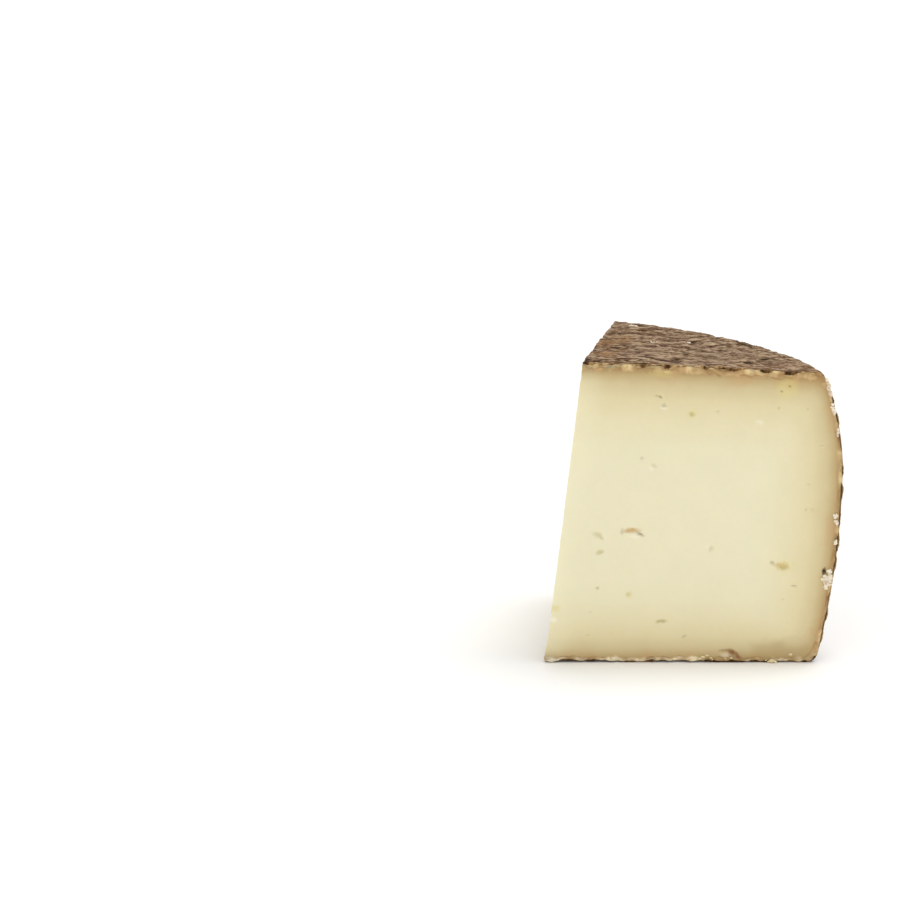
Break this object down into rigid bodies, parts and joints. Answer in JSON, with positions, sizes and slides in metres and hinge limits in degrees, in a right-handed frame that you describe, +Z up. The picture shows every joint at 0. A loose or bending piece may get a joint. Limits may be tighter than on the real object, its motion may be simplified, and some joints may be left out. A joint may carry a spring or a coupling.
{
  "type": "aged mixed milk cheese wedge",
  "caption": "Standing wedge of firm aged cheese: pale paste with small eyes on the knife cuts, and a ridged brown rind over the top, the barrel-shaped rim and the flat base.",
  "frame": {"origin": "middle of the wedge's outline seen from above, at the level of the flat base it stands on", "axes": "+Z up; -Y out of the front knife cut; +X from the tip along the front cut towards the rim"},
  "size_m": [0.0988, 0.0926, 0.103],
  "materials": {
    "paste": "satin, waxy cut paste",
    "rind": "dry brown rind with pale bloom"
  },
  "bodies": {
    "root": {"cheese_wedge": "paste"}
  },
  "joints": []
}
